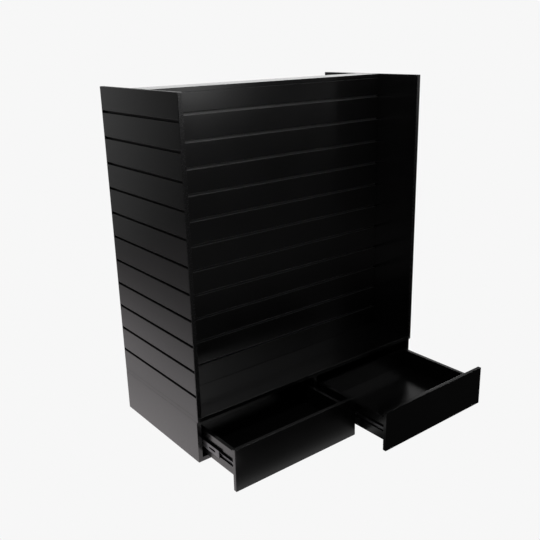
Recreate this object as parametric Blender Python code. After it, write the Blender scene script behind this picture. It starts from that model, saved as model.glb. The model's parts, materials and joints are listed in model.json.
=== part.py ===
"""Double-sided slatwall display stand on a base with two pull-out drawers.

Two slatwall end panels and a hollow slatwall core stand on a full-width deck, in an H in plan.
The deck caps a base cabinet whose two drawers run on full-extension ball-bearing slides.
Units are metres, +Z is up and -Y is the front, where the drawers open.
The origin is on the floor, at the middle of the base, under the partition.
"""

import math

import bmesh
import bpy
from mathutils import Matrix, Vector

# Overall size
WIDTH = 1.200
DEPTH = 0.584
HEIGHT = 1.397

# Boards
BOARD = 0.018
GAP = 0.0003
HALF_GAP = GAP / 2
FLOOR = -HALF_GAP  # a board is drawn half a gap small on every side, so its underside lands on z = 0
DECK_TOP = 0.193
DECK_UNDER = DECK_TOP - BOARD
BASE_SETBACK = 0.009
EDGE_BAND = 0.003

# Slatwall grooves: T-shaped slots on a 4 inch pitch
GROOVE_PITCH = 0.1016
GROOVE_COUNT = 11
TOP_GROOVE_DROP = 0.096
GROOVE_MOUTH = 0.0095
GROOVE_CAVITY = 0.022
GROOVE_LIP = 0.0055
GROOVE_DEPTH = 0.012
LIP_CHAMFER = 0.0012

# Hollow core between the end panels
CORE_THICKNESS = 0.136
STUD_COUNT = 4

# Drawers, drawn closed and then pulled out
FRONT_BOARD = 0.016
FRONT_GAP = 0.0015
FRONT_LOW = 0.001
FRONT_HIGH = 0.172
BUMPER_GAP = 0.001
DRAWER_LENGTH = 0.400
DRAWER_LOW = 0.031
DRAWER_HIGH = 0.132
DRAWER_SIDE = 0.015
DRAWER_BACK = 0.015
BOTTOM_PANEL = 0.006
BOTTOM_PANEL_Z = 0.044
BOTTOM_TONGUE = 0.006
LEFT_OPENING = 0.229
RIGHT_OPENING = 0.395

# Ball-bearing slides, three nested members each
SLIDE_LENGTH = 0.400
SLIDE_Z = 0.0815
SLIDE_SETBACK = 0.002
SLIDE_SPACE = 0.0127
SLIDE_SHEET = 0.0012
OUTER_HALF_HEIGHT = 0.0200
OUTER_REACH = 0.0115
OUTER_LIP = 0.003
MIDDLE_HALF_HEIGHT = 0.0153
MIDDLE_START = 0.0030
MIDDLE_REACH = 0.0108
INNER_HALF_HEIGHT = 0.0106
INNER_START = 0.0054
SLIDE_SCREW_STEP = 0.035
MIDDLE_SLOT_LENGTH = 0.042
MIDDLE_SLOT_HALF_WIDTH = 0.004
MIDDLE_SLOT_ARC_STEPS = 6
MIDDLE_SLOT_PLACES = (0.047, 0.340)

# Fasteners
ROUND_SIDES = 8
SMOOTH_UNDER_DEGREES = 40
END_TAPER = 0.8  # radius at a chamfered end, as a share of the full radius
CAM_SIDES = 14
CAM_RADIUS = 0.0075
CAM_HEIGHT = 0.0115
CAM_FROM_EDGE = 0.024
DOWEL_RADIUS = 0.004
DOWEL_IN_DECK = 0.012
DOWEL_IN_SIDE = 0.018
DOWEL_CHAMFER = 0.001
DOWEL_FROM_MIDDLE = 0.175
PAN_HEAD_RADIUS = 0.0034
PAN_HEAD_HEIGHT = 0.0012
PAN_SHANK_RADIUS = 0.0018
PAN_SHANK_LENGTH = 0.0095
SCREW_TIP_RADIUS = 0.0006
CUT_PAST = 0.001

X_AXIS = Vector((1, 0, 0))
Y_AXIS = Vector((0, 1, 0))
Z_AXIS = Vector((0, 0, 1))

# Derived places
HALF_WIDTH = WIDTH / 2
HALF_DEPTH = DEPTH / 2
INNER_X = HALF_WIDTH - BOARD
BASE_FRONT = -HALF_DEPTH + BASE_SETBACK
HALF_CORE = CORE_THICKNESS / 2
CAP_UNDER = HEIGHT - BOARD
FRONT_BACK_FACE = BASE_FRONT - BUMPER_GAP
SLIDE_FRONT = BASE_FRONT + SLIDE_SETBACK
GROOVE_HEIGHTS = [HEIGHT - TOP_GROOVE_DROP - GROOVE_PITCH * i for i in reversed(range(GROOVE_COUNT))]

# Finishes: colour, roughness, metallic
FINISHES = {
    "black_melamine": ((0.012, 0.012, 0.013), 0.35, 0.0),
    "black_edging": ((0.016, 0.016, 0.017), 0.30, 0.0),
    "raw_board": ((0.030, 0.028, 0.026), 0.80, 0.0),
    "blackened_steel": ((0.090, 0.090, 0.095), 0.35, 1.0),
    "zinc_steel": ((0.620, 0.620, 0.600), 0.35, 1.0),
    "beech": ((0.550, 0.400, 0.250), 0.70, 0.0),
}


def clear_scene():
    for item in list(bpy.data.objects):
        bpy.data.objects.remove(item, do_unlink=True)


def finish(name, kind):
    colour, roughness, metallic = FINISHES[kind]
    material = bpy.data.materials.new(name + "_" + kind)
    material.use_nodes = True
    shader = material.node_tree.nodes["Principled BSDF"]
    shader.inputs["Base Color"].default_value = (*colour, 1.0)
    shader.inputs["Roughness"].default_value = roughness
    shader.inputs["Metallic"].default_value = metallic
    return material


def add_object(name, shape, kind, centre=(0, 0, 0), smooth=False):
    """Makes the named object from a bmesh drawn around its own centre."""
    mesh = bpy.data.meshes.new(name)
    bmesh.ops.recalc_face_normals(shape, faces=shape.faces)
    shape.to_mesh(mesh)
    shape.free()
    if smooth:
        mesh.shade_smooth()
        mesh.set_sharp_from_angle(angle=math.radians(SMOOTH_UNDER_DEGREES))
    item = bpy.data.objects.new(name, mesh)
    item.location = centre
    bpy.context.scene.collection.objects.link(item)
    if kind:
        mesh.materials.append(finish(name, kind))
    return item


def board(name, x, y, z, kind="black_melamine"):
    """A rectangular board between three (low, high) pairs, drawn half a gap small all round."""
    low = Vector((x[0], y[0], z[0])) + Vector((HALF_GAP,) * 3)
    high = Vector((x[1], y[1], z[1])) - Vector((HALF_GAP,) * 3)
    shape = bmesh.new()
    bmesh.ops.create_cube(shape, size=1.0)
    bmesh.ops.scale(shape, vec=high - low, verts=shape.verts)
    return add_object(name, shape, kind, (low + high) / 2)


def prism(name, outline, across, up, along, start, length, kind):
    """Extrudes an outline of (across, up) distances from the point start, by length, along an axis."""
    shape = bmesh.new()
    corners = [shape.verts.new(across * a + up * b) for a, b in outline]
    face = shape.faces.new(corners)
    grown = bmesh.ops.extrude_face_region(shape, geom=[face])
    moved = [part for part in grown["geom"] if isinstance(part, bmesh.types.BMVert)]
    bmesh.ops.translate(shape, verts=moved, vec=along * length)
    return add_object(name, shape, kind, start)


def turned(shape, profile, place, axis, sides):
    """Adds one closed turned body: rings of (radius, distance along the axis) from place."""
    spin = axis.to_track_quat("Z", "Y").to_matrix().to_4x4()
    frame = Matrix.Translation(place) @ spin
    rings = []
    for radius, distance in profile:
        ring = []
        for step in range(sides):
            angle = 2 * math.pi * step / sides
            point = Vector((radius * math.cos(angle), radius * math.sin(angle), distance))
            ring.append(shape.verts.new(frame @ point))
        rings.append(ring)
    for lower, upper in zip(rings, rings[1:]):
        for step in range(sides):
            after = (step + 1) % sides
            shape.faces.new((lower[step], lower[after], upper[after], upper[step]))
    shape.faces.new(list(reversed(rings[0])))
    shape.faces.new(rings[-1])


def hole_for(profile):
    """The bore that clears a turned fastener by the gap, running out past its open end."""
    grown = [(radius + GAP, distance) for radius, distance in profile]
    grown[0] = (grown[0][0], profile[0][1] - CUT_PAST)
    grown[-1] = (grown[-1][0], profile[-1][1] + GAP)
    return grown


def cut(target, shape, name):
    """Subtracts a bmesh from the target with a Boolean, whose cutter stays as a wire guide."""
    cutter = add_object(name, shape, None)
    cutter.hide_render = True
    cutter.display_type = "WIRE"
    modifier = target.modifiers.new(name, "BOOLEAN")
    modifier.operation = "DIFFERENCE"
    modifier.solver = "EXACT"
    modifier.object = cutter


def fasten(name, profile, place, axis, kind, through, sides=ROUND_SIDES, bore=None):
    """A turned fastener at place, with its bore in every board that it passes through."""
    shape = bmesh.new()
    turned(shape, profile, Vector(), axis, sides)
    fastener = add_object(name, shape, kind, place, smooth=True)
    for target in through:
        hole = bmesh.new()
        turned(hole, hole_for(bore or profile), place, axis, sides)
        cut(target, hole, name + "_bore_" + target.name)
    return fastener


def body_with(name, closed_place, opening, pieces):
    """Hangs pieces, drawn closed, on an empty on the slide axis, and pulls the empty out."""
    empty = bpy.data.objects.new(name, None)
    empty.location = closed_place
    bpy.context.scene.collection.objects.link(empty)
    cutters = [m.object for piece in pieces for m in piece.modifiers if m.type == "BOOLEAN"]
    for item in pieces + cutters:
        item.parent = empty
        item.matrix_parent_inverse = Matrix.Translation(-Vector(closed_place))
    empty.location.y -= opening


def slat_outline(low, high):
    """Section of a slatwall board as (depth, height): plain back face at 0, grooved face at BOARD."""
    back = HALF_GAP
    face = BOARD - HALF_GAP
    lip = face - GROOVE_LIP
    deep = face - GROOVE_DEPTH
    points = [(back, low + HALF_GAP), (face, low + HALF_GAP)]
    for height in GROOVE_HEIGHTS:
        mouth = GROOVE_MOUTH / 2
        cavity = GROOVE_CAVITY / 2
        points += [(face, height - mouth - LIP_CHAMFER), (face - LIP_CHAMFER, height - mouth)]
        points += [(lip, height - mouth), (lip, height - cavity), (deep, height - cavity)]
        points += [(deep, height + cavity), (lip, height + cavity), (lip, height + mouth)]
        points += [(face - LIP_CHAMFER, height + mouth), (face, height + mouth + LIP_CHAMFER)]
    points += [(face, high - HALF_GAP), (back, high - HALF_GAP)]
    return points


def end_panel(side, sign):
    """Slatwall end panel, grooved outside, with edging strips over its front and back edges."""
    half = HALF_DEPTH - EDGE_BAND
    start = Vector((sign * INNER_X, -half + HALF_GAP, 0))
    outline = slat_outline(DECK_TOP, HEIGHT)
    length = 2 * half - GAP
    name = side + "_end_panel"
    prism(name, outline, X_AXIS * sign, Z_AXIS, Y_AXIS, start, length, "black_melamine")
    span = sorted((sign * INNER_X, sign * HALF_WIDTH))
    for edge, low in (("front", -HALF_DEPTH), ("back", half)):
        name = side + "_end_" + edge + "_edging"
        board(name, span, (low, low + EDGE_BAND), (DECK_TOP, HEIGHT), "black_edging")


def core_panel(face, sign):
    """Slatwall panel on one side of the core, grooved outside, under the cap."""
    start = Vector((-INNER_X + HALF_GAP, sign * (HALF_CORE - BOARD), 0))
    outline = slat_outline(DECK_TOP, CAP_UNDER)
    length = 2 * INNER_X - GAP
    name = "core_" + face + "_panel"
    prism(name, outline, Y_AXIS * sign, Z_AXIS, X_AXIS, start, length, "black_melamine")


def core():
    """Hollow core: two slatwall panels on upright studs, with a sole rail and a cap."""
    core_panel("front", -1)
    core_panel("back", 1)
    inner = HALF_CORE - BOARD
    board("core_cap", (-INNER_X, INNER_X), (-HALF_CORE, HALF_CORE), (CAP_UNDER, HEIGHT))
    board("core_sole_rail", (-INNER_X, INNER_X), (-inner, inner), (DECK_TOP, DECK_TOP + BOARD), "raw_board")
    spacing = (2 * INNER_X - BOARD) / (STUD_COUNT - 1)
    for index in range(STUD_COUNT):
        low = -INNER_X + spacing * index
        span_z = (DECK_TOP + BOARD, CAP_UNDER)
        board(f"core_stud_{index + 1}", (low, low + BOARD), (-inner, inner), span_z, "raw_board")


def base():
    """Base cabinet: two sides and a partition on the floor, two bottom boards, a back and the deck."""
    uprights = (BASE_FRONT, HALF_DEPTH)
    run = (BASE_FRONT, HALF_DEPTH - BOARD)
    height = (FLOOR, DECK_UNDER)
    half = BOARD / 2
    parts = {
        "left": board("base_left_side", (-HALF_WIDTH, -INNER_X), uprights, height),
        "right": board("base_right_side", (INNER_X, HALF_WIDTH), uprights, height),
        "partition": board("base_partition", (-half, half), run, height),
    }
    board("base_left_bottom", (-INNER_X, -half), run, (FLOOR, BOARD))
    board("base_right_bottom", (half, INNER_X), run, (FLOOR, BOARD))
    board("base_back", (-INNER_X, INNER_X), (HALF_DEPTH - BOARD, HALF_DEPTH), height)
    deck_span = (-HALF_WIDTH, HALF_WIDTH)
    parts["deck"] = board("deck", deck_span, (-HALF_DEPTH, HALF_DEPTH), (DECK_UNDER, DECK_TOP))
    return parts


def deck_dowels(parts):
    """Dowels that stand in the base sides and locate the deck."""
    length = DOWEL_IN_DECK + DOWEL_IN_SIDE
    ends = ((DOWEL_RADIUS * END_TAPER, 0), (DOWEL_RADIUS, DOWEL_CHAMFER))
    profile = [*ends, *((radius, length - distance) for radius, distance in reversed(ends))]
    middle = HALF_WIDTH - BOARD / 2
    for side, x in (("left", -middle), ("right", middle)):
        for end, y in (("front", -DOWEL_FROM_MIDDLE), ("back", DOWEL_FROM_MIDDLE)):
            place = Vector((x, y, DECK_UNDER - DOWEL_IN_SIDE))
            boards = [parts[side], parts["deck"]]
            fasten(f"deck_dowel_{side}_{end}", profile, place, Z_AXIS, "beech", boards)


def pan_screw():
    """Low-headed slide screw, from the top of its head to its tip."""
    return [
        (PAN_HEAD_RADIUS * END_TAPER, 0),
        (PAN_HEAD_RADIUS, PAN_HEAD_HEIGHT / 2),
        (PAN_HEAD_RADIUS, PAN_HEAD_HEIGHT),
        (PAN_SHANK_RADIUS, PAN_HEAD_HEIGHT),
        (PAN_SHANK_RADIUS, PAN_HEAD_HEIGHT + PAN_SHANK_LENGTH - 2 * PAN_SHANK_RADIUS),
        (SCREW_TIP_RADIUS, PAN_HEAD_HEIGHT + PAN_SHANK_LENGTH),
    ]


def channel(start, reach, half_height, lip=0.0):
    """C-shaped section as (across, up): web at start, flanges out to reach, with optional lips."""
    sheet = SLIDE_SHEET if reach > start else -SLIDE_SHEET
    inner = half_height - SLIDE_SHEET
    half = [(start, half_height), (reach, half_height)]
    if lip:
        half += [(reach, half_height - lip), (reach - sheet, half_height - lip), (reach - sheet, inner)]
    else:
        half += [(reach, inner)]
    half += [(start + sheet, inner)]
    return half + [(across, -up) for across, up in reversed(half)]


def slide_member(name, outline, wall_x, inward):
    start = Vector((wall_x, SLIDE_FRONT, SLIDE_Z))
    return prism(name, outline, X_AXIS * inward, Z_AXIS, Y_AXIS, start, SLIDE_LENGTH, "blackened_steel")


def cut_middle_slots(member, wall_x, inward):
    """Elongated openings with round ends through the middle member's web."""
    slots = bmesh.new()
    span = MIDDLE_SLOT_LENGTH / 2 - MIDDLE_SLOT_HALF_WIDTH
    arc = [math.pi * step / MIDDLE_SLOT_ARC_STEPS for step in range(MIDDLE_SLOT_ARC_STEPS + 1)]
    outline = [
        (span + MIDDLE_SLOT_HALF_WIDTH * math.sin(a), MIDDLE_SLOT_HALF_WIDTH * math.cos(a)) for a in arc
    ]
    outline += [(-along, -up) for along, up in outline]
    web_x = wall_x + inward * (MIDDLE_START + SLIDE_SHEET / 2)
    for step in MIDDLE_SLOT_PLACES:
        centre = Vector((web_x - SLIDE_SHEET, SLIDE_FRONT + step, SLIDE_Z))
        corners = [slots.verts.new(centre + Y_AXIS * along + Z_AXIS * up) for along, up in outline]
        face = slots.faces.new(corners)
        grown = bmesh.ops.extrude_face_region(slots, geom=[face])
        moved = [part for part in grown["geom"] if isinstance(part, bmesh.types.BMVert)]
        bmesh.ops.translate(slots, verts=moved, vec=X_AXIS * 2 * SLIDE_SHEET)
    cut(member, slots, member.name + "_slots")


def slide(drawer, hand, wall_x, inward):
    """Three nested slide members between a cabinet wall and a drawer side, drawn closed."""
    name = f"{drawer}_drawer_{hand}_slide_"
    outer_section = channel(GAP, OUTER_REACH, OUTER_HALF_HEIGHT, OUTER_LIP)
    middle_section = channel(MIDDLE_START, MIDDLE_REACH, MIDDLE_HALF_HEIGHT)
    inner_section = channel(SLIDE_SPACE - GAP, INNER_START, INNER_HALF_HEIGHT)
    outer = slide_member(name + "outer", outer_section, wall_x, inward)
    middle = slide_member(name + "middle", middle_section, wall_x, inward)
    inner = slide_member(name + "inner", inner_section, wall_x, inward)
    cut_middle_slots(middle, wall_x, inward)
    return outer, middle, inner


def drawer_side(drawer, hand, outer_x, inward):
    """Drawer side board with a groove along its inner face for the bottom panel."""
    low = DRAWER_LOW + HALF_GAP
    high = DRAWER_HIGH - HALF_GAP
    thick = DRAWER_SIDE - HALF_GAP
    groove = thick - BOTTOM_TONGUE
    groove_low = BOTTOM_PANEL_Z - HALF_GAP
    groove_high = BOTTOM_PANEL_Z + BOTTOM_PANEL + HALF_GAP
    outline = [(0, low), (thick, low), (thick, groove_low), (groove, groove_low)]
    outline += [(groove, groove_high), (thick, groove_high), (thick, high), (0, high)]
    start = Vector((outer_x, FRONT_BACK_FACE + HALF_GAP, 0))
    name = f"{drawer}_drawer_{hand}_side"
    length = DRAWER_LENGTH - GAP
    return prism(name, outline, X_AXIS * inward, Z_AXIS, Y_AXIS, start, length, "black_melamine")


def side_cam(side, outer_x, inward):
    """Cam fitting in the inner face of a drawer side, which draws the side against the front."""
    profile = [(CAM_RADIUS, 0), (CAM_RADIUS, CAM_HEIGHT)]
    pocket_x = outer_x + inward * (DRAWER_SIDE - HALF_GAP)
    place = Vector((pocket_x, FRONT_BACK_FACE + CAM_FROM_EDGE, (DRAWER_LOW + DRAWER_HIGH) / 2 + CAM_RADIUS))
    name = side.name.replace("_side", "_cam")
    return fasten(name, profile, place, X_AXIS * -inward, "black_edging", [side], CAM_SIDES)


def slide_screw(name, wall_x, inward, into_drawer, through):
    """Front screw of a slide member, through its web into the drawer side or the cabinet wall."""
    stack = GAP + SLIDE_SHEET + PAN_HEAD_HEIGHT + GAP
    from_wall = SLIDE_SPACE - stack if into_drawer else stack
    axis = X_AXIS * (inward if into_drawer else -inward)
    place = Vector((wall_x + inward * from_wall, SLIDE_FRONT + SLIDE_SCREW_STEP, SLIDE_Z))
    shank = [(PAN_SHANK_RADIUS, PAN_HEAD_HEIGHT), (PAN_SHANK_RADIUS, PAN_HEAD_HEIGHT + PAN_SHANK_LENGTH)]
    return fasten(name, pan_screw(), place, axis, "zinc_steel", through, bore=shank)


def drawer(name, low_x, high_x, opening, walls):
    """One drawer on its two slides, in the bay between two cabinet walls."""
    front_low = -HALF_WIDTH if low_x < 0 else 0.0
    front_span = (front_low + FRONT_GAP, front_low + HALF_WIDTH - FRONT_GAP)
    front_run = (FRONT_BACK_FACE - FRONT_BOARD, FRONT_BACK_FACE)
    inner_low = low_x + SLIDE_SPACE + DRAWER_SIDE
    inner_high = high_x - SLIDE_SPACE - DRAWER_SIDE
    back_end = FRONT_BACK_FACE + DRAWER_LENGTH
    back_run = (back_end - DRAWER_BACK, back_end)
    back_z = (BOTTOM_PANEL_Z + BOTTOM_PANEL, DRAWER_HIGH)
    tongue = (inner_low - BOTTOM_TONGUE, inner_high + BOTTOM_TONGUE)
    panel_z = (BOTTOM_PANEL_Z, BOTTOM_PANEL_Z + BOTTOM_PANEL)
    moving = [
        board(name + "_drawer_front", front_span, front_run, (FRONT_LOW, FRONT_HIGH)),
        board(name + "_drawer_back", (inner_low, inner_high), back_run, back_z),
        board(name + "_drawer_bottom", tongue, (FRONT_BACK_FACE, back_end), panel_z),
    ]
    middles = []
    for hand, wall_x, inward, wall in (("left", low_x, 1, walls[0]), ("right", high_x, -1, walls[1])):
        outer_x = wall_x + inward * SLIDE_SPACE
        side = drawer_side(name, hand, outer_x, inward)
        outer, middle, inner = slide(name, hand, wall_x, inward)
        moving += [side, side_cam(side, outer_x, inward), inner]
        moving.append(slide_screw(f"{name}_drawer_{hand}_slide_screw", wall_x, inward, True, [inner, side]))
        slide_screw(f"{name}_bay_{hand}_slide_screw", wall_x, inward, False, [outer, wall])
        middles.append(middle)
    centre = ((low_x + high_x) / 2, FRONT_BACK_FACE, SLIDE_Z)
    body_with(name + "_drawer_travel", centre, opening, moving)
    body_with(name + "_slide_travel", centre, opening / 2, middles)


def build():
    clear_scene()
    end_panel("left", -1)
    end_panel("right", 1)
    core()
    parts = base()
    deck_dowels(parts)
    half = BOARD / 2
    drawer("left", -INNER_X, -half, LEFT_OPENING, (parts["left"], parts["partition"]))
    drawer("right", half, INNER_X, RIGHT_OPENING, (parts["partition"], parts["right"]))


build()
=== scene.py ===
"""Looks for the slatwall display stand: board finishes, slide hardware, studio stage and camera."""

import json
import math

import bmesh
import bpy
from mathutils import Matrix, Vector


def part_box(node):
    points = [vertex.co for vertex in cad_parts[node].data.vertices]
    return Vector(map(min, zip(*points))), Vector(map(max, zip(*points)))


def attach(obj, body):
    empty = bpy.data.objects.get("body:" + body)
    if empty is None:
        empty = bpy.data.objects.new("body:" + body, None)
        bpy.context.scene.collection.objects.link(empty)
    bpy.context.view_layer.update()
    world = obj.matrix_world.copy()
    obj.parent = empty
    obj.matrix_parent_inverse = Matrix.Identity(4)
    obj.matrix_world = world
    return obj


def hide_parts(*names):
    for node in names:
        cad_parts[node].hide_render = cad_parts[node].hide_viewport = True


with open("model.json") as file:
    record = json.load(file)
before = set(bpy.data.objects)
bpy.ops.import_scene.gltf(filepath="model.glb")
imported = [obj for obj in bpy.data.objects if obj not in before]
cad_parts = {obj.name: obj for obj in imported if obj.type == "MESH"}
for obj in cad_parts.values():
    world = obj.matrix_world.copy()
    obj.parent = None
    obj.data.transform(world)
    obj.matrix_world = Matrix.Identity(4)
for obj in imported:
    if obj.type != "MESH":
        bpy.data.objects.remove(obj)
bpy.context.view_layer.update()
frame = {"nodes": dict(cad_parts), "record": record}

X_AXIS = Vector((1, 0, 0))
Y_AXIS = Vector((0, 1, 0))
Z_AXIS = Vector((0, 0, 1))

# Camera: place in metres, angles in degrees, lens in millimetres, shift in frame widths
CAMERA_PLACE = (-1.806, -2.324, 1.553)
CAMERA_YAW = 37.82
CAMERA_PITCH = 17.43
CAMERA_ROLL = -1.42
CAMERA_LENS = 46.71
CAMERA_SENSOR = 36.0
CAMERA_SHIFT = (-0.0028, -0.0187)

# Softened arrises on boards and sheet metal; edges sharper than the angle count as arrises
SHARP_ANGLE = math.radians(35)
WELD_DISTANCE = 0.00001
BOARD_ARRIS = 0.0007
METAL_ARRIS = 0.0002
WIDER_ARRIS = {
    "core_front_panel": 0.0010,
    "core_back_panel": 0.0010,
    "deck": 0.0014,
    "left_drawer_front": 0.0014,
    "right_drawer_front": 0.0014,
}

# Cross recessed fasteners: how finely a head is drawn, and each kind's sizes
HEAD_RINGS = 14
HEAD_STEPS = 48
RECESS_FLANK = 0.0003
SCREW_RADIUS = 0.0034
SCREW_HEAD = 0.0012
SCREW_SHANK = ((0.0016, 0.0), (0.0016, -0.0105), (0.0006, -0.0125))
SCREW_RECESS = {"reach": 0.0020, "half_width": 0.0006, "depth": 0.0009}
CAM_RADIUS = 0.0075
CAM_CROWN = 0.0002
CAM_BARREL = ((0.0075, -0.0112),)
CAM_RECESS = {"reach": 0.0042, "half_width": 0.0011, "depth": 0.0030}
SCREWS_BEHIND_FIRST = (0.130, 0.290)

# Ball cages between the slide members: offsets from the members' fronts and from the carrying wall
BALL_RADIUS = 0.0016
BALL_PITCH = 0.010
BALLS = 14
CAGE_SHEET = 0.0004
OUTER_CAGE_BACK = 0.030
INNER_CAGE_BACK = 0.085
INNER_CAGE = {"web": 0.0046, "reach": 0.0056, "half_height": 0.01235, "ball": 0.0080}
OUTER_CAGE = {"web": 0.0019, "reach": 0.0070, "half_height": 0.01705, "ball": 0.0070}

# Melamine: the two tones and roughnesses it wanders between, and its grooves' matt inside
MELAMINE_DARK = (0.0022, 0.0022, 0.0023)
MELAMINE_LIGHT = (0.0032, 0.0032, 0.0033)
MELAMINE_ROUGH = (0.215, 0.235)
GROOVE_TONE = (0.028, 0.028, 0.028)
END_GROOVE = {"axis": "X", "inside": 0.5860, "outside": 0.5985, "rough": 0.65}
CORE_GROOVE = {"axis": "Y", "inside": 0.0555, "outside": 0.0668, "rough": 0.36}

# Edge strip, raw board and beech: dark and light tones, and the strip's roughness range
EDGING_DARK = (0.0020, 0.0020, 0.0021)
EDGING_LIGHT = (0.0038, 0.0038, 0.0040)
EDGING_ROUGH = (0.25, 0.28)
BOARD_DARK = (0.012, 0.011, 0.010)
BOARD_LIGHT = (0.034, 0.031, 0.028)
BEECH_DARK = (0.42, 0.27, 0.15)
BEECH_LIGHT = (0.60, 0.42, 0.26)

# Steels: dark tone, light tone and roughness range
BLACKENED = ((0.085, 0.085, 0.09), (0.125, 0.125, 0.13), (0.24, 0.34))
ZINC = ((0.52, 0.52, 0.50), (0.66, 0.66, 0.64), (0.22, 0.34))
CAGE_STEEL = ((0.30, 0.30, 0.30), (0.42, 0.42, 0.42), (0.18, 0.28))
DRAWING_SCALE = (900.0, 6.0, 900.0)

# Studio: the pale tone that the camera sees, and the faint ambient light
PALE = 0.93
AMBIENT = 0.03
FLOOR_LEVEL = -0.002
FLOOR_SPAN = 30

# Floor cards: where they meet, how far they reach, and their levels just under the stand
FLOOR_SPLIT = -0.48
FLOOR_REACH = 8
FLOOR_BACK = -0.3
CARD_LEVEL = -0.001
STRIP_LEVEL = -0.0008

# Brightness of each card: one value, or (place, brightness) stops ACROSS (x), ALONG (y) or RISE (z)
LEFT_FLOOR_TINT = (1.0, 0.95, 0.965)
LEFT_FLOOR_ACROSS = (
    (-8.0, 0.20), (-2.8, 0.13), (-1.9, 0.14), (-1.45, 0.26), (-1.22, 0.50), (-0.92, 0.97),
    (-0.64, 1.18), (-0.48, 1.18),
)
LEFT_FLOOR_ALONG = ((-8.0, 1.0), (-0.1, 1.0), (0.5, 0.83), (8.0, 0.81))
FRONT_FLOOR_ACROSS = ((-0.48, 1.0), (0.5, 1.0), (1.5, 0.6), (3.0, 0.3), (8.0, 0.2))
FRONT_FLOOR_ALONG = ((-8.0, 0.05), (-2.6, 0.08), (-1.7, 0.08), (-1.2, 0.03), (-0.3, 0.02))
FRONT_STRIP_ALONG = (
    (-0.70, 0.03), (-0.63, 0.06), (-0.60, 0.10), (-0.57, 0.24), (-0.55, 0.48), (-0.529, 0.62),
)
BACK_FLOOR_GLOW = 0.25
BACK_WALL_ACROSS = ((-6.0, 0.15), (-3.2, 0.25), (-2.4, 0.45), (0.0, 1.6), (9.0, 2.2))
BACK_WALL_RISE = ((0.0, 1.0), (1.8, 1.0), (2.6, 0.35), (5.0, 0.3))
NEAR_BACK_ACROSS = ((-2.2, 0.05), (-1.7, 0.08), (-1.45, 0.19), (-1.15, 0.37), (-0.7, 0.48))
NEAR_BACK_RISE = ((0.35, 0.55), (0.9, 0.75), (1.3, 1.0))
NEAR_FRONT_ACROSS = ((0.0, 0.0), (0.2, 0.3), (0.4, 2.2), (0.6, 1.2), (0.8, 0.15))
NEAR_FRONT_RISE = ((1.15, 0.04), (1.26, 1.0), (1.38, 1.7), (1.7, 0.3))
FRONT_BOX_ACROSS = (
    (0.5, 16.0), (2.0, 13.0), (2.4, 4.0), (2.7, 1.8), (3.2, 1.5), (3.7, 0.5), (4.0, 0.0),
)
EDGE_BOX_ACROSS = ((1.0, 8.0), (1.5, 8.5), (1.9, 6.0), (2.4, 4.0), (3.0, 4.0), (4.6, 7.0))
SIDE_STRIP_GLOW = 1.6

# Area lights: power in watts
OVERHEAD = {"place": (1.2, 0.6, 4.0), "target": (0, 0, 0.7), "size": (2.0, 2.0), "power": 12}
UPPER_LEFT = {
    "place": (-0.40, -0.65, 1.65), "target": (-0.40, -0.07, 1.25), "size": (0.3, 0.3), "power": 7,
}

GROOVE_OF = {
    "left_end_panel": END_GROOVE,
    "right_end_panel": END_GROOVE,
    "core_front_panel": CORE_GROOVE,
    "core_back_panel": CORE_GROOVE,
}

STAND = frame["nodes"]
SLOT_OF = {entry["node"]: entry["material_slot"] for entry in frame["record"]["subparts"]}
BODIES = frame["record"]["behaviour"]["bodies"]
BODY_OF = {node: body for body, nodes in BODIES.items() for node in nodes}


# ---------------------------------------------------------------- materials


def new_material(name):
    """A material with its node tree and its Principled shader."""
    material = bpy.data.materials.new(name)
    material.use_nodes = True
    return material, material.node_tree, material.node_tree.nodes["Principled BSDF"]


def add(tree, kind, **inputs):
    """Adds a node and sets its unlinked inputs by name."""
    node = tree.nodes.new(kind)
    for key, value in inputs.items():
        node.inputs[key.replace("_", " ")].default_value = value
    return node


def placed_coordinates(tree, offset):
    """Object coordinates shifted per piece, so that no two boards carry the same pattern."""
    where = tree.nodes.new("ShaderNodeTexCoord")
    mapping = tree.nodes.new("ShaderNodeMapping")
    mapping.inputs["Location"].default_value = offset
    tree.links.new(where.outputs["Object"], mapping.inputs["Vector"])
    return mapping.outputs["Vector"]


def noise(tree, vector, scale, detail):
    """Noise factor at a place, clustered around one half."""
    node = add(tree, "ShaderNodeTexNoise", Scale=scale, Detail=detail)
    tree.links.new(vector, node.inputs["Vector"])
    return node.outputs["Fac"]


def ramp(tree, factor, low, high, start=0.35, end=0.65):
    """Maps a noise factor to the range low to high."""
    node = add(tree, "ShaderNodeMapRange")
    node.inputs["From Min"].default_value = start
    node.inputs["From Max"].default_value = end
    node.inputs["To Min"].default_value = low
    node.inputs["To Max"].default_value = high
    tree.links.new(factor, node.inputs["Value"])
    return node.outputs["Result"]


def tint(tree, factor, dark, light):
    """Mixes from dark, where factor is 0, to light, where it is 1; dark may come from a node."""
    node = tree.nodes.new("ShaderNodeMix")
    node.data_type = "RGBA"
    if isinstance(dark, tuple):
        node.inputs["A"].default_value = (*dark, 1)
    else:
        tree.links.new(dark, node.inputs["A"])
    node.inputs["B"].default_value = (*light, 1)
    tree.links.new(factor, node.inputs["Factor"])
    return node.outputs["Result"]


def bump(tree, shader, height, strength, distance):
    """Fine relief: distance is its depth in metres."""
    node = add(tree, "ShaderNodeBump", Strength=strength, Distance=distance)
    tree.links.new(height, node.inputs["Height"])
    tree.links.new(node.outputs["Normal"], shader.inputs["Normal"])


def piece_offset(index):
    """A shift of the pattern that differs from piece to piece."""
    return (index * 1.37 % 5.0, index * 2.11 % 7.0, index * 0.73 % 3.0)


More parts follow.
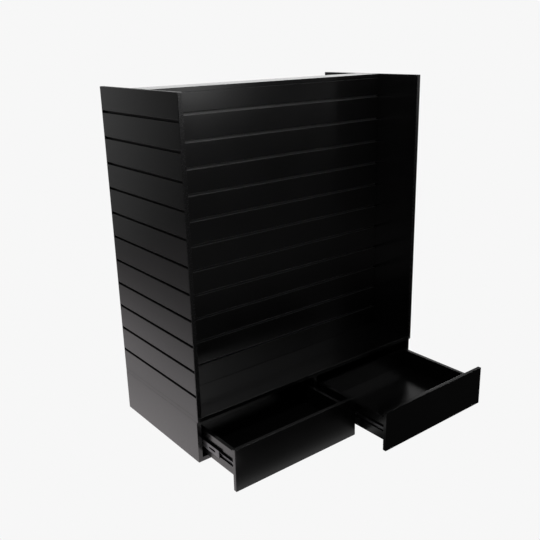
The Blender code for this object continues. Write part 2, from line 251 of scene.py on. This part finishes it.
def groove_mask(tree, axis, inside, outside):
    """1 where the distance from the middle plane lies between two limits, else 0."""
    place = tree.nodes.new("ShaderNodeTexCoord")
    split = tree.nodes.new("ShaderNodeSeparateXYZ")
    tree.links.new(place.outputs["Object"], split.inputs["Vector"])
    band = tree.nodes.new("ShaderNodeMath")
    band.operation = "COMPARE"
    band.inputs[1].default_value = (inside + outside) / 2
    band.inputs[2].default_value = (outside - inside) / 2
    distance = tree.nodes.new("ShaderNodeMath")
    distance.operation = "ABSOLUTE"
    tree.links.new(split.outputs[axis], distance.inputs[0])
    tree.links.new(distance.outputs["Value"], band.inputs[0])
    return band.outputs["Value"]


def blend_values(tree, factor, first, second):
    """Mixes from first, a node's value, to second, a number, as factor goes from 0 to 1."""
    node = tree.nodes.new("ShaderNodeMix")
    node.inputs["B"].default_value = second
    tree.links.new(first, node.inputs["A"])
    tree.links.new(factor, node.inputs["Factor"])
    return node.outputs["Result"]


def melamine(name, index, groove=None):
    """Near-black semi-gloss melamine with a faint pearl texture; grooves are duller inside."""
    material, tree, shader = new_material(name)
    vector = placed_coordinates(tree, piece_offset(index))
    clouds = noise(tree, vector, scale=3.0, detail=4.0)
    tone = tint(tree, ramp(tree, clouds, 0, 1), MELAMINE_DARK, MELAMINE_LIGHT)
    rough = ramp(tree, noise(tree, vector, scale=7.0, detail=5.0), *MELAMINE_ROUGH)
    if groove:
        mask = groove_mask(tree, groove["axis"], groove["inside"], groove["outside"])
        tone = tint(tree, mask, tone, GROOVE_TONE)
        rough = blend_values(tree, mask, rough, groove["rough"])
    tree.links.new(tone, shader.inputs["Base Color"])
    tree.links.new(rough, shader.inputs["Roughness"])
    shader.inputs["IOR"].default_value = 1.5
    bump(tree, shader, noise(tree, vector, scale=900.0, detail=2.0), strength=0.03, distance=0.0001)
    return material


def raw_board(name, index):
    """Dark through-dyed fibreboard, matt, with fibres just visible."""
    material, tree, shader = new_material(name)
    vector = placed_coordinates(tree, piece_offset(index))
    fibres = noise(tree, vector, scale=420.0, detail=6.0)
    tree.links.new(tint(tree, fibres, BOARD_DARK, BOARD_LIGHT), shader.inputs["Base Color"])
    shader.inputs["Roughness"].default_value = 0.85
    bump(tree, shader, fibres, strength=0.25, distance=0.0004)
    return material


def edging(name, index):
    """Black plastic edge strip with a fine even grain."""
    material, tree, shader = new_material(name)
    vector = placed_coordinates(tree, piece_offset(index))
    grain = noise(tree, vector, scale=260.0, detail=3.0)
    tree.links.new(tint(tree, grain, EDGING_DARK, EDGING_LIGHT), shader.inputs["Base Color"])
    tree.links.new(ramp(tree, grain, *EDGING_ROUGH), shader.inputs["Roughness"])
    bump(tree, shader, grain, strength=0.015, distance=0.0001)
    return material


def steel(name, index, dark, light, rough):
    """Cold-rolled strip: metallic, with drawing lines along the slide and uneven plating."""
    material, tree, shader = new_material(name)
    vector = placed_coordinates(tree, piece_offset(index))
    stretched = tree.nodes.new("ShaderNodeMapping")
    stretched.inputs["Scale"].default_value = DRAWING_SCALE
    tree.links.new(vector, stretched.inputs["Vector"])
    lines = noise(tree, stretched.outputs["Vector"], scale=1.0, detail=3.0)
    patches = noise(tree, vector, scale=35.0, detail=4.0)
    tree.links.new(tint(tree, ramp(tree, patches, 0, 1), dark, light), shader.inputs["Base Color"])
    tree.links.new(ramp(tree, lines, *rough), shader.inputs["Roughness"])
    shader.inputs["Metallic"].default_value = 1.0
    bump(tree, shader, lines, strength=0.06, distance=0.0001)
    return material


def beech(name, index):
    """Plain beech with fine flecks."""
    material, tree, shader = new_material(name)
    vector = placed_coordinates(tree, piece_offset(index))
    grain = noise(tree, vector, scale=300.0, detail=5.0)
    tree.links.new(tint(tree, grain, BEECH_DARK, BEECH_LIGHT), shader.inputs["Base Color"])
    shader.inputs["Roughness"].default_value = 0.7
    bump(tree, shader, grain, strength=0.2, distance=0.0002)
    return material


def finish_for(node, index):
    """The material for a CAD node's slot."""
    slot = SLOT_OF[node]
    name = f"{node}_{slot}"
    if slot == "black_melamine":
        return melamine(name, index, GROOVE_OF.get(node))
    if slot == "black_edging":
        return edging(name, index)
    if slot == "raw_board":
        return raw_board(name, index)
    if slot == "blackened_steel":
        return steel(name, index, *BLACKENED)
    if slot == "zinc_steel":
        return steel(name, index, *ZINC)
    return beech(name, index)


def arris_of(node):
    """How far a CAD node's edges are rounded."""
    if "steel" in SLOT_OF[node]:
        return METAL_ARRIS
    return WIDER_ARRIS.get(node, BOARD_ARRIS)


def soften(item, width):
    """Rounds the edges of a piece, after joining the corners that its faces share."""
    weld = item.modifiers.new("weld", "WELD")
    weld.merge_threshold = WELD_DISTANCE
    arris = item.modifiers.new("arris", "BEVEL")
    arris.width = width
    arris.segments = 2
    arris.limit_method = "ANGLE"
    arris.angle_limit = SHARP_ANGLE
    arris.harden_normals = True


def dress(node, index):
    """Gives a CAD node its finish and softens its arrises."""
    item = STAND[node]
    item.data.materials.clear()
    item.data.materials.append(finish_for(node, index))
    soften(item, arris_of(node))


# ---------------------------------------------------------------- fasteners and ball cages


def cross_depth(x, y, reach, half_width, depth):
    """How far a cross recess lies below the face of its head at one place."""
    narrow, far = sorted((abs(x), abs(y)))
    across = min(max((half_width - narrow) / RECESS_FLANK, 0), 1)
    along = min(max((reach - far) / RECESS_FLANK, 0), 1)
    return depth * across * along


def circle(shape, radius, height, recess=None):
    """One ring of points at that height, lowered where a recess crosses it."""
    ring = []
    for step in range(HEAD_STEPS):
        angle = 2 * math.pi * step / HEAD_STEPS
        x, y = radius * math.cos(angle), radius * math.sin(angle)
        drop = cross_depth(x, y, **recess) if recess else 0
        ring.append(shape.verts.new((x, y, height - drop)))
    return ring


def fastener_mesh(name, radius, crown, recess, tail):
    """A round head, crowned and cross recessed towards +Z, and a tail of (radius, height) rings."""
    shape = bmesh.new()
    rings = []
    for number in range(1, HEAD_RINGS + 1):
        share = number / HEAD_RINGS
        rings.append(circle(shape, radius * share, crown * (1 - share ** 4), recess))
    for tail_radius, height in tail:
        rings.append(circle(shape, tail_radius, height))
    middle = shape.verts.new((0, 0, crown - recess["depth"]))
    end = shape.verts.new((0, 0, tail[-1][1]))
    for step in range(HEAD_STEPS):
        following = (step + 1) % HEAD_STEPS
        shape.faces.new((middle, rings[0][step], rings[0][following]))
        shape.faces.new((end, rings[-1][following], rings[-1][step]))
        for near, far in zip(rings, rings[1:]):
            shape.faces.new((near[step], far[step], far[following], near[following]))
    mesh = bpy.data.meshes.new(name)
    shape.to_mesh(mesh)
    shape.free()
    mesh.shade_smooth()
    return mesh


def place_piece(name, mesh, material, place, direction, body, slot):
    """Puts a piece in the stand: its local +Z along direction, riding on a body."""
    piece = bpy.data.objects.new(name, mesh)
    if not mesh.materials:
        mesh.materials.append(material)
    turn = Z_AXIS.rotation_difference(Vector(direction)).to_matrix().to_4x4()
    piece.matrix_world = Matrix.Translation(place) @ turn
    bpy.context.scene.collection.objects.link(piece)
    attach(piece, body)
    return piece


def head_seat(node, facing, height):
    """Where the underside of a CAD fastener's head sits, for a head that faces along +X or -X."""
    low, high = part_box(node)
    face = high[0] if facing > 0 else low[0]
    return Vector((face - facing * height, (low[1] + high[1]) / 2, (low[2] + high[2]) / 2))


def slide_screws(mesh, material):
    """Pan head screws along every fixed slide member: the first replaces the CAD screw."""
    for node in sorted(STAND):
        if not node.endswith("_slide_screw"):
            continue
        inward = 1 if "_left_slide" in node else -1
        facing = inward if "_bay_" in node else -inward
        turn = X_AXIS * facing
        home = (BODY_OF[node], SLOT_OF[node])
        seat = head_seat(node, facing, SCREW_HEAD)
        first = place_piece(node + "_cross", mesh, material, seat, turn, *home)
        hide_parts(node)
        for number, behind in enumerate(SCREWS_BEHIND_FIRST, 2):
            spot = seat + Y_AXIS * behind
            place_piece(f"{node}_{number}", mesh, material, spot, turn, *home)


def drawer_cams(mesh, material):
    """The cam in each drawer side, which replaces the CAD's."""
    for node in sorted(STAND):
        if not node.endswith("_cam"):
            continue
        facing = 1 if node.endswith("_left_cam") else -1
        seat = head_seat(node, facing, CAM_CROWN)
        home = (BODY_OF[node], SLOT_OF[node])
        cam = place_piece(node + "_cross", mesh, material, seat, X_AXIS * facing, *home)
        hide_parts(node)


def box_between(shape, low, high):
    """Adds a closed box between two corners."""
    middle = (Vector(low) + Vector(high)) / 2
    size = Vector(high) - Vector(low)
    matrix = Matrix.Translation(middle) @ Matrix.Diagonal((*size, 1))
    bmesh.ops.create_cube(shape, size=1, matrix=matrix)


def cage_mesh(name, inward, web, reach, half_height, ball):
    """A U-shaped steel cage running along +Y, with a row of balls in each of its flanges."""
    shape = bmesh.new()
    length = BALLS * BALL_PITCH
    near, far = sorted((inward * web, inward * (web + CAGE_SHEET)))
    box_between(shape, (near, 0, -half_height), (far, length, half_height))
    near, far = sorted((inward * web, inward * (web + reach)))
    for level in (-half_height, half_height):
        half = CAGE_SHEET / 2
        box_between(shape, (near, 0, level - half), (far, length, level + half))
        for number in range(BALLS):
            centre = Matrix.Translation((inward * ball, BALL_PITCH * (number + 0.5), level))
            bmesh.ops.create_icosphere(shape, subdivisions=2, radius=BALL_RADIUS, matrix=centre)
    mesh = bpy.data.meshes.new(name)
    shape.to_mesh(mesh)
    shape.free()
    mesh.set_sharp_from_angle(angle=SHARP_ANGLE)
    mesh.shade_smooth()
    return mesh


def ball_cages(material):
    """Two cages in each slide: one stays in the stand, one goes with the middle member."""
    for drawer in ("left", "right"):
        for side, inward in (("left", 1), ("right", -1)):
            slide = f"{drawer}_drawer_{side}_slide_"
            low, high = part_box(slide + "outer")
            wall = low[0] if inward > 0 else high[0]
            level = (low[2] + high[2]) / 2
            cages = (
                ("outer", "outer", OUTER_CAGE, OUTER_CAGE_BACK),
                ("inner", "middle", INNER_CAGE, INNER_CAGE_BACK),
            )
            for kind, carrier, sizes, back in cages:
                name = f"{slide}{kind}_cage"
                member = slide + carrier
                place = (wall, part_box(member)[0][1] + back, level)
                mesh = cage_mesh(name, inward, **sizes)
                place_piece(name, mesh, material, place, Z_AXIS, BODY_OF[member], SLOT_OF[member])


def hardware():
    """Every fastener and ball cage that scene.py adds to the CAD's pieces."""
    zinc = steel("zinc_plate", len(STAND), *ZINC)
    screw = fastener_mesh("cross_screw", SCREW_RADIUS, SCREW_HEAD, SCREW_RECESS, SCREW_SHANK)
    slide_screws(screw, zinc)
    cam = fastener_mesh("cross_cam", CAM_RADIUS, CAM_CROWN, CAM_RECESS, CAM_BARREL)
    drawer_cams(cam, edging("cam_plastic", len(STAND) + 1))
    ball_cages(steel("cage_steel", len(STAND) + 2, *CAGE_STEEL))


# ---------------------------------------------------------------- stage, light and camera


def emission(name, strength, colour=(1, 1, 1)):
    """A plain glowing material; strength is a number or a function that links a node's value."""
    material = bpy.data.materials.new(name)
    material.use_nodes = True
    tree = material.node_tree
    tree.nodes.clear()
    glow = add(tree, "ShaderNodeEmission", Color=(*colour, 1))
    if callable(strength):
        tree.links.new(strength(tree), glow.inputs["Strength"])
    else:
        glow.inputs["Strength"].default_value = strength
    out = tree.nodes.new("ShaderNodeOutputMaterial")
    tree.links.new(glow.outputs["Emission"], out.inputs["Surface"])
    return material


def falloff(tree, axis, stops):
    """Brightness along a world axis: linear between (place, value) stops, held past the ends."""
    place = tree.nodes.new("ShaderNodeNewGeometry")
    split = tree.nodes.new("ShaderNodeSeparateXYZ")
    tree.links.new(place.outputs["Position"], split.inputs["Vector"])
    low, high = stops[0][0], stops[-1][0]
    along = add(tree, "ShaderNodeMapRange")
    along.inputs["From Min"].default_value = low
    along.inputs["From Max"].default_value = high
    tree.links.new(split.outputs[axis], along.inputs["Value"])
    curve = tree.nodes.new("ShaderNodeFloatCurve")
    top = max(value for _, value in stops)
    points = curve.mapping.curves[0].points
    for index, (where, value) in enumerate(stops):
        spot = ((where - low) / (high - low), value / top)
        if index in (0, len(stops) - 1):
            points[0 if index == 0 else len(points) - 1].location = spot
        else:
            points.new(*spot)
    for point in points:
        point.handle_type = "VECTOR"
    curve.mapping.update()
    tree.links.new(along.outputs["Result"], curve.inputs["Value"])
    return times(tree, curve.outputs["Value"], top)


def times(tree, first, second):
    """The product of a node's value and a number or another node's value."""
    node = tree.nodes.new("ShaderNodeMath")
    node.operation = "MULTIPLY"
    tree.links.new(first, node.inputs[0])
    if isinstance(second, (int, float)):
        node.inputs[1].default_value = second
    else:
        tree.links.new(second, node.inputs[1])
    return node.outputs["Value"]


def plane(name, centre, size, facing, material):
    """A flat card, size (width, height), whose face looks along facing."""
    shape = bmesh.new()
    bmesh.ops.create_grid(shape, x_segments=1, y_segments=1, size=0.5)
    mesh = bpy.data.meshes.new(name)
    shape.to_mesh(mesh)
    shape.free()
    card = bpy.data.objects.new(name, mesh)
    card.matrix_world = (
        Matrix.Translation(centre)
        @ Vector(facing).to_track_quat("Z", "Y").to_matrix().to_4x4()
        @ Matrix.Diagonal((size[0], size[1], 1, 1))
    )
    mesh.materials.append(material)
    bpy.context.scene.collection.objects.link(card)
    return card


def reflector(name, low, high, facing, strength, diffuse=False, colour=(1, 1, 1)):
    """A glowing card between two corners, which the camera doesn't see but the gloss does."""
    low, high = Vector(low), Vector(high)
    spread = high - low
    size = (spread.x or spread.y, spread.z) if spread.z else (spread.x, spread.y)
    card = plane(name, (low + high) / 2, size, facing, emission(name + "_glow", strength, colour))
    card.visible_camera = False
    card.visible_shadow = False
    card.visible_diffuse = diffuse


def graded(axis, stops, *more):
    """A strength that falls off along one world axis, or along each of several."""
    def strength(tree):
        value = falloff(tree, axis, stops)
        return times(tree, value, graded(*more)(tree)) if more else value
    return strength


def softbox(name, place, target, size, power):
    """A rectangular area light aimed at a target, which the camera doesn't see."""
    light = bpy.data.lights.new(name, "AREA")
    light.shape = "RECTANGLE"
    light.size, light.size_y = size
    light.energy = power
    lamp = bpy.data.objects.new(name, light)
    lamp.location = place
    aim = Vector(target) - Vector(place)
    lamp.rotation_euler = aim.to_track_quat("-Z", "Y").to_euler()
    lamp.visible_camera = False
    bpy.context.scene.collection.objects.link(lamp)


def surround():
    """World that the camera sees as one pale tone, and that lights the stand only faintly."""
    world = bpy.data.worlds.new("surround")
    world.use_nodes = True
    tree = world.node_tree
    tree.nodes.clear()
    path = tree.nodes.new("ShaderNodeLightPath")
    seen = add(tree, "ShaderNodeBackground", Color=(PALE, PALE, PALE, 1), Strength=1.0)
    lighting = add(tree, "ShaderNodeBackground", Color=(1, 1, 1, 1), Strength=AMBIENT)
    mix = tree.nodes.new("ShaderNodeMixShader")
    out = tree.nodes.new("ShaderNodeOutputWorld")
    tree.links.new(path.outputs["Is Camera Ray"], mix.inputs["Fac"])
    tree.links.new(lighting.outputs["Background"], mix.inputs[1])
    tree.links.new(seen.outputs["Background"], mix.inputs[2])
    tree.links.new(mix.outputs["Shader"], out.inputs["Surface"])
    bpy.context.scene.world = world


def floor_cards():
    """The floor as the black board mirrors it, in four parts."""
    low = (-FLOOR_REACH, -FLOOR_REACH, CARD_LEVEL)
    high = (FLOOR_SPLIT, FLOOR_REACH, CARD_LEVEL)
    glow = graded("X", LEFT_FLOOR_ACROSS, "Y", LEFT_FLOOR_ALONG)
    reflector("left_floor", low, high, Z_AXIS, glow, diffuse=True, colour=LEFT_FLOOR_TINT)
    low = (FLOOR_SPLIT, -FLOOR_REACH, CARD_LEVEL)
    high = (FLOOR_REACH, FLOOR_BACK, CARD_LEVEL)
    glow = graded("X", FRONT_FLOOR_ACROSS, "Y", FRONT_FLOOR_ALONG)
    reflector("front_floor", low, high, Z_AXIS, glow)
    low = (FLOOR_SPLIT, FLOOR_BACK, CARD_LEVEL)
    high = (FLOOR_REACH, FLOOR_REACH, CARD_LEVEL)
    reflector("back_floor", low, high, Z_AXIS, BACK_FLOOR_GLOW)
    low = (-0.6, -0.70, STRIP_LEVEL)
    high = (0.03, -0.529, STRIP_LEVEL)
    reflector("front_strip", low, high, Z_AXIS, graded("Y", FRONT_STRIP_ALONG))


def standing_cards():
    """Walls and softboxes around the stand, given by their corners."""
    glow = graded("X", BACK_WALL_ACROSS, "Z", BACK_WALL_RISE)
    reflector("back_wall", (-6, 5, 0), (9, 5, 5), -Y_AXIS, glow)
    glow = graded("X", NEAR_BACK_ACROSS, "Z", NEAR_BACK_RISE)
    reflector("near_back", (-2.2, 1.5, 0.35), (-0.7, 1.5, 1.6), -Y_AXIS, glow)
    glow = graded("X", NEAR_FRONT_ACROSS, "Z", NEAR_FRONT_RISE)
    reflector("near_front", (0.0, -1.5, 1.15), (0.8, -1.5, 1.7), Y_AXIS, glow)
    glow = graded("X", FRONT_BOX_ACROSS)
    reflector("front_softbox", (0.5, -5, 2.6), (4.0, -5, 4.5), Y_AXIS, glow)
    reflector("side_strip", (5.9, -5, 0.5), (7.3, -5, 2.2), Y_AXIS, SIDE_STRIP_GLOW)
    glow = graded("X", EDGE_BOX_ACROSS)
    reflector("edge_softbox", (1.0, -2.95, 3.0), (4.6, -1.95, 3.0), -Z_AXIS, glow)


def stage():
    """Pale floor and surround, and the lights and cards that the black board mirrors."""
    bpy.context.scene.view_settings.view_transform = "Standard"
    surround()
    pale = emission("pale_floor", PALE)
    floor = plane("floor", (0, 0, FLOOR_LEVEL), (FLOOR_SPAN, FLOOR_SPAN), Z_AXIS, pale)
    floor.visible_glossy = False
    floor.visible_diffuse = False
    floor.visible_shadow = False
    floor_cards()
    standing_cards()
    softbox("overhead", **OVERHEAD)
    softbox("upper_left", **UPPER_LEFT)


def camera():
    """A fixed camera that frames the stand from its front left."""
    lens = bpy.data.cameras.new("camera")
    lens.lens = CAMERA_LENS
    lens.sensor_width = CAMERA_SENSOR
    lens.shift_x, lens.shift_y = CAMERA_SHIFT
    eye = bpy.data.objects.new("camera", lens)
    yaw = math.radians(CAMERA_YAW)
    pitch = math.radians(CAMERA_PITCH)
    turn = Matrix.Rotation(-yaw, 4, "Z") @ Matrix.Rotation(math.pi / 2 - pitch, 4, "X")
    roll = Matrix.Rotation(math.radians(CAMERA_ROLL), 4, "Z")
    eye.matrix_world = Matrix.Translation(CAMERA_PLACE) @ turn @ roll
    bpy.context.scene.collection.objects.link(eye)
    bpy.context.scene.camera = eye


def main():
    """Camera, finishes, hardware and stage, in that order."""
    camera()
    for index, node in enumerate(sorted(STAND)):
        dress(node, index)
    hardware()
    stage()


main()
